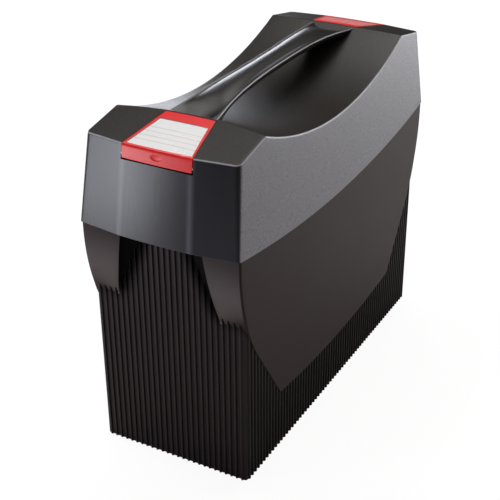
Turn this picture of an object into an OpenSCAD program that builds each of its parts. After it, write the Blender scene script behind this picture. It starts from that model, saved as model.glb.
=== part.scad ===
// Portable file box: a ribbed box for hanging files under a lift-off lid.
// The lid has a dished top, a carrying handle over the dish and, at each end,
// a hinged red latch that carries a label.
// Millimetres, +Z up, +X along the length. The origin is the centre of the base.

/* [Box] */
// Distance between the rails that the files hang on
rail_span = 330; // [328:1:332]
// Distance from the middle of a rail to the crests of the end wall's ribs
rail_inset = 11; // [10:0.5:14]
// Width over the ribs of the side walls
box_w = 146; // [144:1:150]
// Height of the low rim that the lid closes over
rim_z = 226; // [222:1:240]
// Thickness of the walls
wall = 2.2; // [1.6:0.1:2.6]
// Thickness of the floor
floor_t = 2.6; // [2:0.1:4]
// Radius of the upright corners
corner_r = 1.6; // [1:0.1:3]

/* [Ribs] */
// Distance from one upright rib to the next
rib_pitch = 5.4; // [4.5:0.1:8]
// Width of a rib at its crest
rib_w = 1.6; // [1:0.1:2.2]
// How far a rib stands out from the wall
rib_h = 1.6; // [0.8:0.1:2]

/* [Side panels and end grips] */
// How far a smooth side panel stands out from the ribs
panel_step = 1; // [1:0.1:2.4]
// How far the end grips stand out from the ribs
grip_reach = 9.5; // [8:0.5:13]
// Radius of the curve on the outer edge of the grips
grip_r = 164.5; // [150:0.5:180]
// How far below the lid's end edge that curve starts
grip_straight = 10; // [4:1:20]
// Lean of the panel's lower corners from upright, in degrees
panel_lean = 33.4; // [30:0.2:36]
// Height of the pointed corners of a panel
panel_tip_z = 57.5; // [45:0.5:70]
// How far the panel's lower edge sags from its corners to mid length
panel_sag = 7.5; // [2:0.5:12]
// Half width of the finger pocket at its mouth, under the lid
pocket_mouth = 38; // [34:0.5:44]
// Half width of the finger pocket at the wall, under the lid
pocket_root = 25; // [23:0.5:30]

/* [Lid] */
// How far the lid stands out past each side panel, at the lowest point of its edge
lid_side_step = 1; // [0:0.1:1]
// How far the lid's corners stand out past the end grips
lid_end_step = 3; // [0:0.1:3]
// How far each long side of the lid leans in from its lowest point to its top
lid_side_lean = 5.75; // [4:0.25:7]
// How far the end faces lean in from skirt to top
lid_end_lean = 12.5; // [9:0.5:15]
// How far the end faces bow out at mid width
lid_bow = 6.5; // [4:0.5:8]
// How far the lid's end edges hang below the rim
lid_lap = 6; // [4:1:10]
// How much lower the lid's long edges are at mid length than at the ends
skirt_drop = 15.5; // [12:0.5:20]
// Height of the lid's end faces
lid_end_h = 76; // [70:1:84]
// Rise of the top from its outer edge to the ridge at the end of the dish
ridge_rise = 8; // [5:0.5:11]
// Length of that slope at mid width
slope_l = 47.5; // [44:0.5:52]
// Depth of the dish
dish_depth = 28; // [24:0.5:32]
// Thickness of the lid
lid_wall = 2.5; // [2:0.1:3]

/* [Handle] */
// Height of the top of the handle above the ridges
handle_rise = 11; // [8:0.5:16]
// Half width of the handle at mid length
handle_waist = 13; // [11:0.5:16]
// Depth of the handle at mid length
handle_depth = 13; // [10:0.5:15]
// How far below the ridges the handle's feet stand
foot_depth = 7; // [6:0.5:9]
// Length of the flat that each foot stands on
foot_l = 15; // [13:0.5:16]
// Radius of a handle screw's shank
screw_r = 1.5; // [1.2:0.1:1.8]
// How far the screws reach up into a foot
screw_bite = 4; // [3:0.5:5]

/* [Latches and labels] */
// Half width of a latch at its inner edge
latch_in_half = 22.8; // [20:0.2:25]
// Half width of a latch at its outer edge
latch_out_half = 31.5; // [29:0.5:34]
// Thickness of a latch plate
latch_t = 2.2; // [2:0.1:2.8]
// Depth of the recess that a latch lies in
bay_depth = 5; // [4.6:0.1:6]
// Radius of the hinge barrel at the foot of a latch's lip
barrel_r = 3.4; // [3.4:0.1:4]
// Radius of the hinge pin
pin_r = 1.5; // [1:0.1:1.8]
// How far the hinge pin lies below the lid's outer top edge
pin_depth = 8.2; // [8:0.1:9]
// Width of the hook arm
hook_w = 20; // [14:1:24]
// How far the hook arm reaches below the hinge pin
hook_reach = 40.8; // [39:0.1:42]
// Distance of a label's inner edge from the latch's inner edge
label_inset = 10; // [6:0.5:14]
// Thickness of a label card
card_t = 0.4; // [0.3:0.1:0.6]
// Thickness of a clear label cover
cover_t = 0.8; // [0.6:0.1:1.2]

/* [Rails] */
// How far the rails stand above the rim
rail_rise = 14; // [10:1:16]
// Height of a rail
rail_h = 14; // [10:1:16]
// Thickness of a rail
rail_t = 2; // [1.6:0.1:2.4]
// How far the ends of a rail stop short of the box's side walls
rail_end_gap = 3.45; // [2:0.05:8]

/* [Fits] */
// Gap between the lid's edge and the box
seam_gap = 0.3; // [0.3:0.05:0.6]
// Gap between the low rim and the inside of the lid
rim_gap = 0.5; // [0.4:0.1:0.8]
// Gap round a latch in its recess
latch_gap = 0.5; // [0.3:0.1:0.8]
// Running gap between hinge pin and barrel
pin_gap = 0.05; // [0.02:0.01:0.08]
// Gap between a hook and the wall with its catch slot
hook_gap = 0.4; // [0.3:0.1:0.8]
// Gap round a card, a cover or a rail in its seat
seat_gap = 0.2; // [0.1:0.05:0.3]

/* [Hidden] */
$fn = 64;

// Heights, from the rim up to the handle
skirt_z = rim_z - lid_lap;
skirt_low_z = skirt_z - skirt_drop;
lid_top_z = skirt_z + lid_end_h;
ridge_z = lid_top_z + ridge_rise;
dish_z = ridge_z - dish_depth;
handle_top_z = ridge_z + handle_rise;
foot_seat_z = ridge_z - foot_depth;
pin_z = lid_top_z - pin_depth;
hook_low_z = pin_z - hook_reach;
rail_top_z = rim_z + rail_rise;

// Box, side panels and grips
box_l = rail_span + 2 * rail_inset;
panel_w = box_w + 2 * panel_step;
grip_l = box_l + 2 * grip_reach;
far = box_l + handle_top_z;
wall_half_l = box_l / 2 - rib_h;
wall_half_w = box_w / 2 - rib_h;
cavity_half_l = wall_half_l - wall;
// How far a cut runs past what it cuts
over = 10;

// Lid: lean of the long sides, and circles for its skirt, its dish and its ends
lid_w = panel_w + 2 * lid_side_step;
lid_l = grip_l + 2 * lid_end_step;
side_lean = lid_side_lean / (lid_top_z - skirt_low_z);
end_lean = lid_end_lean / (lid_top_z - skirt_z);
function lid_half_w(z) = lid_w / 2 - side_lean * (z - skirt_low_z);
end_x = lid_l / 2 + lid_bow;
top_edge_x = end_x - lid_end_lean;
ridge_x = top_edge_x - slope_l;
skirt_r = (pow(lid_l / 2, 2) + pow(skirt_drop, 2)) / (2 * skirt_drop);
dish_r = (pow(ridge_x, 2) + pow(dish_depth, 2)) / (2 * dish_depth);
end_half_w = lid_half_w(skirt_z);
end_r = (pow(end_half_w, 2) + pow(lid_bow, 2)) / (2 * lid_bow);
top_slope = ridge_rise / slope_l;
function top_z(x) = ridge_z - top_slope * (abs(x) - ridge_x);

// Rim: it clears the inside of the lid, and the box is as wide inside as the rim
rim_half_w = lid_half_w(rim_z) - lid_wall - rim_gap;
cavity_half_w = min(rim_half_w, wall_half_w) - wall;

// Upright tabs on the end walls, which carry the rails and the catch slots
tab_half_w = 58;
tab_over_hook = 15;
tab_top_z = hook_low_z + tab_over_hook;
tab_r = 8;
catch_room_y = 2;
catch_room_z = 0.5;

// Panels and grips
grip_x = grip_l / 2;
grip_arc_z = skirt_z - grip_straight;
grip_steps = 10;
tip_x = grip_x - grip_r * (1 - cos(panel_lean))
    - tan(panel_lean) * (grip_arc_z - grip_r * sin(panel_lean) - panel_tip_z);
panel_r = (pow(tip_x, 2) + pow(panel_sag, 2)) / (2 * panel_sag);
panel_half_angle = asin(tip_x / panel_r);
grip_skin = wall;
grip_hollow_h = 30;
pocket_widen = 0.3;
pocket_h = 85;
pocket_low_z = skirt_z - pocket_h;

// Latch: hinge pin, hook arm and recess
latch_in_x = ridge_x - 1;
pin_x = end_x - end_lean * (pin_z - skirt_z) - barrel_r;
lip_t = 3.2;
bay_wall = 2.2;
barrel_gap = 0.4;
bay_back_x = pin_x - barrel_r - barrel_gap;
bay_low_z = pin_z - barrel_r - barrel_gap;
hook_t = 2.4;
hook_x = cavity_half_l - hook_gap - hook_t;
nose_h = 3.4;
slot_room = 3;
latch_slope = (latch_out_half - latch_in_half) / (top_edge_x - latch_in_x);
function latch_half(x) = latch_in_half + latch_slope * (abs(x) - latch_in_x);
// The barrel is no wider than the recess at its back, so it clears it as it turns
barrel_half = latch_half(bay_back_x);

// Label: its tray lies just inside the edges of the latch plate
label_in_x = latch_in_x + label_inset;
label_edge = 1.1;
label_side_edge = 2.6;
label_in_half = latch_half(label_in_x) - label_side_edge;
label_out_half = latch_half(top_edge_x) - label_edge;
tray_depth = card_t + cover_t + seat_gap;

// Handle: feet, screws and the lengthwise curves
foot_gap = 0.4;
foot_side_gap = 0.7;
foot_x = latch_in_x - foot_gap;
foot_half_w = latch_in_half + foot_side_gap;
screw_inset = 8;
screw_x = foot_x - screw_inset;
screw_y = 12;
screw_top_z = foot_seat_z + screw_bite;
boss_h = 7;
boss_z = foot_seat_z - boss_h;
screw_head_r = 3;
screw_head_h = 2;
handle_sections = 28;
handle_end_drop = 0.3;
handle_end_z = ridge_z - handle_end_drop;
thumb_dip = 3.4;
thumb_l = 12;
edge_fall = 2.2;
edge_t = 2;
under_l = 60;
round_l = 30;

// Rail brackets
bracket_side_gap = 17.5;
bracket_y = cavity_half_w - bracket_side_gap;
bracket_w = 6;
bracket_reach = 2.5;
bracket_floor = 4;
bracket_top_drop = 4;
rail_half_l = cavity_half_w - rail_end_gap;

// ---------- helpers ----------

// Extrudes a drawing of the X-Z plane along Y, half this way and half that
module across(half) {
    rotate([90, 0, 0])
        linear_extrude(2 * half, center = true)
            children();
}

// The same drawing, over Y from low to high
module across_from(low, high) {
    translate([0, high, 0])
        rotate([90, 0, 0])
            linear_extrude(high - low)
                children();
}

module both_ends() {
    children();
    mirror([1, 0, 0])
        children();
}

module both_sides() {
    children();
    mirror([0, 1, 0])
        children();
}

module block(low, high) {
    translate(low)
        cube(high - low);
}

module rounded_plate(half_l, half_w, r) {
    hull_l = half_l - r;
    hull_w = half_w - r;
    square([2 * half_l, 2 * hull_w], center = true);
    square([2 * hull_l, 2 * half_w], center = true);
    for (sx = [-1, 1], sy = [-1, 1])
        translate([sx * hull_l, sy * hull_w])
            circle(r);
}

// ---------- box ----------

// Points of one ribbed wall: it runs along +X at height y, with its ribs outward
function rib_count(length) = floor((length - 2 * (corner_r + rib_h) - 2 * rib_w) / rib_pitch) + 1;
function ribbed_edge(length, y) = [
    for (i = [0 : rib_count(length) - 1])
        let (c = (i - (rib_count(length) - 1) / 2) * rib_pitch)
        each [
            [c - rib_w / 2 - rib_h / 2, y],
            [c - rib_w / 2, y + rib_h],
            [c + rib_w / 2, y + rib_h],
            [c + rib_w / 2 + rib_h / 2, y]
        ]
];
function turned(points, angle) = [
    for (p = points)
        [p.x * cos(angle) - p.y * sin(angle), p.x * sin(angle) + p.y * cos(angle)]
];
// Corner arc of the wall, clockwise, for the quarter that starts at angle a
function corner_arc(cx, cy, a) = [
    for (i = [0 : 3])
        [cx + corner_r * cos(a - i * 30), cy + corner_r * sin(a - i * 30)]
];

module ribbed_outline() {
    cx = wall_half_l - corner_r;
    cy = wall_half_w - corner_r;
    polygon(concat(
        ribbed_edge(box_l, wall_half_w),
        corner_arc(cx, cy, 90),
        turned(ribbed_edge(box_w, wall_half_l), -90),
        corner_arc(cx, -cy, 0),
        turned(ribbed_edge(box_l, wall_half_w), 180),
        corner_arc(-cx, -cy, -90),
        turned(ribbed_edge(box_w, wall_half_l), 90),
        corner_arc(-cx, cy, 180)
    ));
}

// Outer edge of a grip and panel, from the lid's seam down to the pointed corner
function grip_arc(inset) = [
    for (i = [0 : grip_steps])
        let (a = panel_lean * i / grip_steps)
        [grip_x - grip_r + (grip_r - inset) * cos(a), grip_arc_z - (grip_r - inset) * sin(a)]
];
function panel_half() = concat(
    [[grip_x, skirt_z + over]],
    grip_arc(0),
    [
        for (i = [0 : grip_steps])
            let (a = panel_half_angle * (1 - i / grip_steps))
            [panel_r * sin(a), panel_tip_z - panel_sag + panel_r * (1 - cos(a))]
    ]
);

module panel_outline() {
    half = panel_half();
    polygon(concat(half, [for (i = [len(half) - 2 : -1 : 0]) [-half[i].x, half[i].y]]));
}

// Finger pocket between the two grips of one end: a wedge that narrows inward.
// It is cut only from the grips, so the ribs of the end wall run up through it.
pocket_flare = (pocket_mouth - pocket_root) / (grip_x - box_l / 2);
function pocket_half(x) = pocket_root + pocket_flare * (x - box_l / 2);
module finger_pocket() {
    top_z = skirt_z + over;
    hull()
        for (x = [wall_half_l - wall / 2, grip_x + over / 4], z = [pocket_low_z, top_z]) {
            half = pocket_half(x) + (z == top_z ? 0 : pocket_widen * (skirt_z - pocket_low_z));
            translate([-x, -half, z])
                cube([0.01, 2 * half, 0.01]);
        }
}

// Hollow inside one grip, open at its top under the lid
module grip_hollow() {
    inner_x = box_l / 2 + seam_gap;
    low = pocket_mouth + pocket_widen * grip_hollow_h + grip_skin;
    arc = [for (p = grip_arc(grip_skin)) if (p.x > inner_x) p];
    across_from(low, panel_w / 2 - grip_skin)
        polygon(concat([[inner_x, skirt_z + over], [grip_x - grip_skin, skirt_z + over]], arc,
            [[inner_x, arc[len(arc) - 1].y]]));
}

module rail_bracket() {
    low_z = rail_top_z - rail_h - bracket_floor;
    in_x = rail_span / 2 - rail_t / 2 - bracket_reach;
    difference() {
        block([in_x, bracket_y - bracket_w / 2, low_z],
            [cavity_half_l, bracket_y + bracket_w / 2, rail_top_z - bracket_top_drop]);
        block([rail_span / 2 - rail_t / 2 - seat_gap, bracket_y - bracket_w, low_z + bracket_floor],
            [rail_span / 2 + rail_t / 2 + seat_gap, bracket_y + bracket_w, rail_top_z]);
    }
}

// Tab that stands up from one end wall, with the slot that a hook catches in
module end_tab() {
    difference() {
        translate([cavity_half_l, 0, 0])
            rotate([90, 0, 90])
                linear_extrude(wall) {
                    translate([-tab_half_w, rim_z - over])
                        square([2 * tab_half_w, tab_top_z - tab_r - rim_z + over]);
                    translate([-tab_half_w + tab_r, rim_z])
                        square([2 * (tab_half_w - tab_r), tab_top_z - rim_z]);
                    for (s = [-1, 1])
                        translate([s * (tab_half_w - tab_r), tab_top_z - tab_r])
                            circle(tab_r);
                }
        block([cavity_half_l - 1, -hook_w / 2 - catch_room_y, hook_low_z - catch_room_z],
            [wall_half_l + 1, hook_w / 2 + catch_room_y, hook_low_z + nose_h + catch_room_z]);
    }
}

module box_body() {
    color([0.09, 0.085, 0.08])
        difference() {
            union() {
                difference() {
                    union() {
                        linear_extrude(skirt_z + over / 2)
                            ribbed_outline();
                        difference() {
                            across(panel_w / 2)
                                panel_outline();
                            both_ends()
                                finger_pocket();
                        }
                    }
                    across(far)
                        translate([0, skirt_low_z + skirt_r])
                            circle(skirt_r + seam_gap, $fn = 256);
                }
                translate([0, 0, skirt_low_z - over])
                    linear_extrude(rim_z - skirt_low_z + over)
                        rounded_plate(wall_half_l, rim_half_w, corner_r);
            }
            translate([0, 0, floor_t])
                linear_extrude(far)
                    rounded_plate(cavity_half_l, cavity_half_w, corner_r);
            both_ends()
                both_sides()
                    grip_hollow();
        }
    color([0.09, 0.085, 0.08])
        both_ends() {
            end_tab();
            both_sides()
                rail_bracket();
        }
}

module file_rail() {
    color([0.75, 0.76, 0.78])
        block([rail_span / 2 - rail_t / 2, -rail_half_l, rail_top_z - rail_h],
            [rail_span / 2 + rail_t / 2, rail_half_l, rail_top_z]);
}

// ---------- lid ----------

// Room between the two leaning, bowed end faces, moved in by inset
module end_faces(inset) {
    high_z = handle_top_z + over;
    cx = end_x - end_r;
    intersection_for (s = [-1, 1])
        translate([s * cx, 0, 0])
            cylinder(h = high_z,
                r1 = end_r - inset + end_lean * skirt_z,
                r2 = end_r - inset - end_lean * (high_z - skirt_z),
                $fn = 256);
}

// Solid shape of the lid, moved in by inset on its ends, sides and top
module lid_form(inset) {
    high_z = handle_top_z + over;
    out_x = end_x + over;
    intersection() {
        end_faces(inset);
        rotate([90, 0, 90])
            linear_extrude(2 * far, center = true)
                polygon([
                    [-lid_half_w(0) + inset, 0], [lid_half_w(0) - inset, 0],
                    [lid_half_w(high_z) - inset, high_z], [-lid_half_w(high_z) + inset, high_z]
                ]);
        across(far)
            difference() {
                polygon([
                    [-out_x, 0], [out_x, 0], [out_x, top_z(out_x) - inset],
                    [ridge_x, ridge_z - inset], [-ridge_x, ridge_z - inset],
                    [-out_x, top_z(out_x) - inset]
                ]);
                translate([0, dish_z + dish_r])
                    circle(dish_r + inset, $fn = 256);
            }
    }
}

// Plan of a latch at the -X end, wider by grow, from its inner edge outward
module latch_plan(grow, in_x, out_x) {
    linear_extrude(far)
        polygon([
            [-in_x, -latch_half(in_x) - grow], [-in_x, latch_half(in_x) + grow],
            [-out_x, latch_half(out_x) + grow], [-out_x, -latch_half(out_x) - grow]
        ]);
}

// Recess of one latch, or with grow the block that it is cut in
module latch_bay(grow) {
    in_x = latch_in_x - grow;
    back_x = bay_back_x - grow;
    out_x = end_x + over;
    top = ridge_z + over;
    intersection() {
        latch_plan(latch_gap + grow, in_x, out_x);
        across(latch_out_half * 2)
            polygon([
                [-in_x, top_z(in_x) - bay_depth - grow], [-back_x, top_z(back_x) - bay_depth - grow],
                [-back_x, bay_low_z - grow], [-out_x, bay_low_z - grow],
                [-out_x, top], [-in_x, top]
            ]);
    }
}

// Seat of one foot of the handle
module foot_seat() {
    block([-latch_in_x - 1, -foot_half_w, foot_seat_z],
        [-latch_in_x + foot_l + 2 * over, foot_half_w, ridge_z + over]);
}

module foot_pad() {
    block([-latch_in_x - 1, -foot_half_w - bay_wall, boss_z],
        [-latch_in_x + foot_l, foot_half_w + bay_wall, ridge_z + over]);
}

// Slot in a bay's floor that the hook arm goes down through. It runs out into
// the room round the barrel, because the arm swings that way as a latch opens.
module hook_slot() {
    block([-bay_back_x - 1, -hook_w / 2 - slot_room, bay_low_z],
        [-hook_x + slot_room, hook_w / 2 + slot_room, top_z(hook_x)]);
}

module screw_places() {
    for (sx = [-1, 1], sy = [-1, 1])
        translate([sx * screw_x, sy * screw_y, 0])
            children();
}

module lid_shell() {
    color([0.30, 0.30, 0.33])
        difference() {
            intersection() {
                union() {
                    difference() {
                        lid_form(0);
                        lid_form(lid_wall);
                    }
                    intersection() {
                        lid_form(0);
                        both_ends() {
                            latch_bay(bay_wall);
                            foot_pad();
                        }
                    }
                }
                across(far)
                    translate([0, skirt_low_z + skirt_r])
                        circle(skirt_r, $fn = 256);
            }
            both_ends() {
                latch_bay(0);
                foot_seat();
                hook_slot();
                translate([-pin_x, 0, pin_z])
                    rotate([90, 0, 0])
                        cylinder(h = 2 * pin_half_l(), r = pin_r, center = true);
            }
            screw_places()
                translate([0, 0, boss_z - 1])
                    cylinder(h = foot_seat_z - boss_z + 2, r = screw_r + 0.2);
        }
}

// ---------- latches ----------

function pin_half_l() = latch_half(pin_x) + latch_gap + bay_wall - 0.3;

module latch() {
    plate_z = function (x) top_z(x) - latch_t;
    lip_x = end_x - end_lean * (pin_z - skirt_z) - lip_t;
    out_x = end_x + over;
    color([0.80, 0.10, 0.09])
        difference() {
            union() {
                intersection() {
                    lid_form(0);
                    latch_plan(0, latch_in_x, out_x);
                    union() {
                        across(far)
                            polygon([
                                [-latch_in_x, plate_z(latch_in_x)], [-lip_x, plate_z(lip_x)],
                                [-lip_x, pin_z], [-out_x, pin_z],
                                [-out_x, ridge_z + over], [-latch_in_x, ridge_z + over]
                            ]);
                        translate([-pin_x, 0, pin_z])
                            rotate([90, 0, 0])
                                cylinder(h = 2 * barrel_half, r = barrel_r, center = true);
                    }
                }
                hook_arm();
            }
            translate([-pin_x, 0, pin_z])
                rotate([90, 0, 0])
                    cylinder(h = 4 * latch_out_half, r = pin_r + pin_gap, center = true);
            label_layer(0, tray_depth, 0);
        }
}

// Arm under a latch plate, with a nose that catches in the slot of the end tab
module hook_arm() {
    nose_x = cavity_half_l - hook_gap;
    across(hook_w / 2)
        polygon([
            [-hook_x, top_z(hook_x) - latch_t + 0.2], [-hook_x, hook_low_z],
            [-hook_x - hook_t * 0.6, hook_low_z], [-nose_x, hook_low_z + nose_h - 1],
            [-nose_x, hook_low_z + nose_h], [-hook_x - hook_t / 2, hook_low_z + nose_h],
            [-hook_x - hook_t / 2, top_z(hook_x) - latch_t - 6],
            [-hook_x - hook_t, top_z(hook_x) - latch_t - 3],
            [-hook_x - hook_t, top_z(hook_x + hook_t) - latch_t + 0.2]
        ]);
}

// One layer of the label, between two depths under the plate's face
module label_layer(from_depth, to_depth, gap) {
    in_x = label_in_x + gap;
    out_x = end_x;
    slope = (label_out_half - label_in_half) / (top_edge_x - label_in_x);
    out_half = label_in_half + slope * (out_x - label_in_x);
    intersection() {
        end_faces(label_edge + gap);
        linear_extrude(far)
            polygon([
                [-in_x, -label_in_half + gap], [-in_x, label_in_half - gap],
                [-out_x, out_half - gap], [-out_x, -out_half + gap]
            ]);
        across(far)
            polygon([
                [-in_x, top_z(in_x) - to_depth], [-out_x, top_z(out_x) - to_depth],
                [-out_x, top_z(out_x) - from_depth + (from_depth == 0 && gap == 0 ? 1 : 0)],
                [-in_x, top_z(in_x) - from_depth + (from_depth == 0 && gap == 0 ? 1 : 0)]
            ]);
    }
}

module label_card() {
    color([0.93, 0.93, 0.92])
        label_layer(tray_depth - card_t, tray_depth, seat_gap);
}

module label_cover() {
    color([0.9, 0.95, 1, 0.4])
        label_layer(0, cover_t, seat_gap);
}

module hinge_pin() {
    color([0.75, 0.76, 0.78])
        translate([-pin_x, 0, pin_z])
            rotate([90, 0, 0])
                cylinder(h = 2 * pin_half_l(), r = pin_r, center = true);
}

// ---------- handle ----------

// Lengthwise curves of the handle, where u runs from 0 at mid length to 1 at a foot
function handle_u(x) = abs(x) / foot_x;
function handle_half(x) = handle_waist + (latch_in_half - handle_waist) * pow(handle_u(x), 2.2);
function handle_arch(x) = handle_top_z - (handle_top_z - handle_end_z) * pow(handle_u(x), 3.5);
function handle_edge(x) = handle_arch(x) - edge_fall * (1 - pow(handle_u(x), 4));
function handle_crest(x) = handle_arch(x) - thumb_dip * pow(max(0, abs(x) - foot_x + thumb_l) / thumb_l, 2);
function smooth(t) = t <= 0 ? 0 : t >= 1 ? 1 : t * t * (3 - 2 * t);
function handle_base(x) = foot_seat_z
    + (handle_top_z - handle_depth - foot_seat_z) * smooth((foot_x - foot_l - abs(x)) / under_l);

// Cross-section at x: over the top from one edge to the other, and back underneath
function handle_section(x) =
    let (
        w = handle_half(x), edge = handle_edge(x), crest = handle_crest(x), base = handle_base(x),
        low = min(edge - edge_t, base + (edge - base) * 0.55),
        round = smooth((foot_x - foot_l - abs(x)) / round_l)
    )
    concat(
        [for (t = [-1 : 0.2 : 1]) [x, w * t, edge + (crest - edge) * (1 - t * t)]],
        [
            [x, w, low],
            [x, w * (0.98 - 0.12 * round), base + (low - base) * (0.12 + 0.25 * round)],
            [x, w * (0.94 - 0.40 * round), base],
            [x, -w * (0.94 - 0.40 * round), base],
            [x, -w * (0.98 - 0.12 * round), base + (low - base) * (0.12 + 0.25 * round)],
            [x, -w, low]
        ]
    );

module handle_bar() {
    // Sections lie closer together near the feet, where the curves are tighter
    xs = [for (i = [0 : handle_sections]) foot_x * sin(90 * (2 * i / handle_sections - 1))];
    n = len(handle_section(0));
    last = len(xs) - 1;
    points = [for (x = xs) each handle_section(x)];
    sides = [
        for (i = [0 : last - 1], j = [0 : n - 1])
            let (a = i * n + j, b = i * n + (j + 1) % n)
            each [[a, b, b + n], [a, b + n, a + n]]
    ];
    caps = [
        [for (j = [n - 1 : -1 : 0]) j],
        [for (j = [0 : n - 1]) last * n + j]
    ];
    polyhedron(points, concat(sides, caps), convexity = 4);
}

module handle() {
    color([0.05, 0.05, 0.055])
        difference() {
            handle_bar();
            screw_places()
                translate([0, 0, foot_seat_z - 1])
                    cylinder(h = screw_top_z - foot_seat_z + 1, r = screw_r + pin_gap);
        }
}

module handle_screws() {
    color([0.75, 0.76, 0.78])
        screw_places() {
            translate([0, 0, boss_z])
                cylinder(h = screw_top_z - boss_z, r = screw_r);
            translate([0, 0, boss_z - screw_head_h])
                cylinder(h = screw_head_h, r = screw_head_r);
        }
}

// ---------- what is drawn ----------

box_body();
mirror([1, 0, 0]) file_rail();  // file_rail_front
file_rail();  // file_rail_rear
lid_shell();
handle();
handle_screws();
latch();  // latch_front
mirror([1, 0, 0]) latch();  // latch_rear
hinge_pin();  // hinge_pin_front
mirror([1, 0, 0]) hinge_pin();  // hinge_pin_rear
label_card();  // label_card_front
mirror([1, 0, 0]) label_card();  // label_card_rear
label_cover();  // label_cover_front
mirror([1, 0, 0]) label_cover();  // label_cover_rear
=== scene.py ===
import math

import bmesh
import bpy
import numpy as np
from mathutils import Matrix, Vector


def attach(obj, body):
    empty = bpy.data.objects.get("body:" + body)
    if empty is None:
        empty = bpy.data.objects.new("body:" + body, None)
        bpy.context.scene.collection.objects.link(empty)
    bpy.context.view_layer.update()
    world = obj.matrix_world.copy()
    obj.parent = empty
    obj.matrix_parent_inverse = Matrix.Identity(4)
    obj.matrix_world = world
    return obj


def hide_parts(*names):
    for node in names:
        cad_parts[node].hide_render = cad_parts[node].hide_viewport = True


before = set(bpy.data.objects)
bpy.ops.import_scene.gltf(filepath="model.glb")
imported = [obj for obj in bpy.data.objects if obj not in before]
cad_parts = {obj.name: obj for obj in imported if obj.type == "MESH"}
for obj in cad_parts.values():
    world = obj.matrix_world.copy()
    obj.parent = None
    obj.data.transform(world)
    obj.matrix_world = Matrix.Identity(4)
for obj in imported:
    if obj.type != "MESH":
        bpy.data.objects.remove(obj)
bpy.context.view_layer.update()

MM = 0.001

# ---------------------------------------------------------------- mesh tools


def new_object(name, points, faces):
    """An object from points in millimetres, with its faces turned outward."""
    mesh = bpy.data.meshes.new(name)
    mesh.from_pydata((np.asarray(points, float) * MM).tolist(), [], faces)
    mesh.validate()
    bm = bmesh.new()
    bm.from_mesh(mesh)
    bmesh.ops.recalc_face_normals(bm, faces=bm.faces)
    bm.to_mesh(mesh)
    bm.free()
    o = bpy.data.objects.new(name, mesh)
    bpy.context.scene.collection.objects.link(o)
    return o


def bake(o):
    """Applies the modifiers of an object."""
    bpy.context.view_layer.update()
    dg = bpy.context.evaluated_depsgraph_get()
    mesh = bpy.data.meshes.new_from_object(o.evaluated_get(dg))
    o.modifiers.clear()
    o.data = mesh
    return o


def bevelled(o, width, segments, angle):
    """Rounds the edges that are sharper than the angle."""
    m = o.modifiers.new("bevel", "BEVEL")
    m.width = width * MM
    m.segments = segments
    m.limit_method = "ANGLE"
    m.angle_limit = math.radians(angle)
    m.use_clamp_overlap = True
    return bake(o)


def boolean(o, other, operation):
    """Adds or takes away another object, which is used up."""
    m = o.modifiers.new("boolean", "BOOLEAN")
    m.operation = operation
    m.solver = "EXACT"
    m.object = other
    bake(o)
    bpy.data.objects.remove(other)
    return o


def shade(o, angle):
    """Smooth shading with sharp edges above the angle, weighted by face area."""
    o.data.shade_smooth()
    o.data.set_sharp_from_angle(angle=math.radians(angle))
    m = o.modifiers.new("weighted", "WEIGHTED_NORMAL")
    m.keep_sharp = True
    m.weight = 80
    return bake(o)


def ring_faces(a, b, n):
    """Quads between the closed loop that starts at index a and the one at b."""
    return [(a + k, a + (k + 1) % n, b + (k + 1) % n, b + k) for k in range(n)]


def tube_faces(rows, n):
    """Quads between rows of n points, each a closed loop."""
    return [face for r in range(rows - 1) for face in ring_faces(r * n, (r + 1) * n, n)]


def loft(name, loops):
    """Closed loops of equal length, joined one to the next and capped at both ends."""
    loops = np.asarray(loops, float)
    rows, n, _ = loops.shape
    faces = tube_faces(rows, n)
    faces += [tuple(range(n)), tuple((rows - 1) * n + k for k in range(n))]
    return new_object(name, loops.reshape(-1, 3), faces)


def prism(name, outline, axis, low, high):
    """A closed outline of two coordinates, extruded along an axis."""
    order = {"x": lambda p, h: (h, p[0], p[1]),
             "y": lambda p, h: (p[0], h, p[1]),
             "z": lambda p, h: (p[0], p[1], h)}[axis]
    return loft(name, [[order(p, h) for p in outline] for h in (low, high)])


def block(name, low, high):
    """A box between two corners."""
    outline = [(low[0], low[1]), (high[0], low[1]), (high[0], high[1]), (low[0], high[1])]
    return prism(name, outline, "z", low[2], high[2])


def arc(cx, cy, r, start, end, steps):
    """Points along an arc, between two angles in degrees."""
    return [(cx + r * math.cos(math.radians(start + (end - start) * k / steps)),
             cy + r * math.sin(math.radians(start + (end - start) * k / steps)))
            for k in range(steps + 1)]


def mirrored(o, axis):
    """A copy of an object, mirrored in x or y."""
    bm = bmesh.new()
    bm.from_mesh(o.data)
    for v in bm.verts:
        setattr(v.co, axis, -getattr(v.co, axis))
    bmesh.ops.reverse_faces(bm, faces=bm.faces)
    mesh = bpy.data.meshes.new(o.name + "_m")
    bm.to_mesh(mesh)
    bm.free()
    made = bpy.data.objects.new(o.name + "_m", mesh)
    bpy.context.scene.collection.objects.link(made)
    return made


def dress(o, look):
    o.data.materials.clear()
    o.data.materials.append(look)


def finish_piece(o, look, body, replaced):
    """Gives a piece its material and body, and hides the CAD node that it replaces."""
    dress(o, look)
    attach(o, body)
    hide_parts(replaced)


# ---------------------------------------------------------------- shapes of the lid

# Heights: of the reference level of an end face, the seam at the middle, the lid's end edges, the dish
SKIRT_Z, SKIRT_LOW, TOP_Z, DISH_Z = 220.0, 204.5, 296.0, 276.0
# The seam's rise, over the half length at which it stops
SEAM_RISE, SEAM_HALF = 16.3, 188.5
# Half width at the seam, and how fast the sides lean in
LID_HALF, SIDE_LEAN = 75.0, 5.75 / 91.5
# Reach of an end face at the reference level, and how fast it leans in
END_REACH, END_LEAN = 193.4, 11.6 / 76
# An end face: length scale of its slight crown, slope of its outer facets, share of the width inside its creases
CROWN, FACET, CREASE = 1200, 0.1317, 0.462
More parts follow.
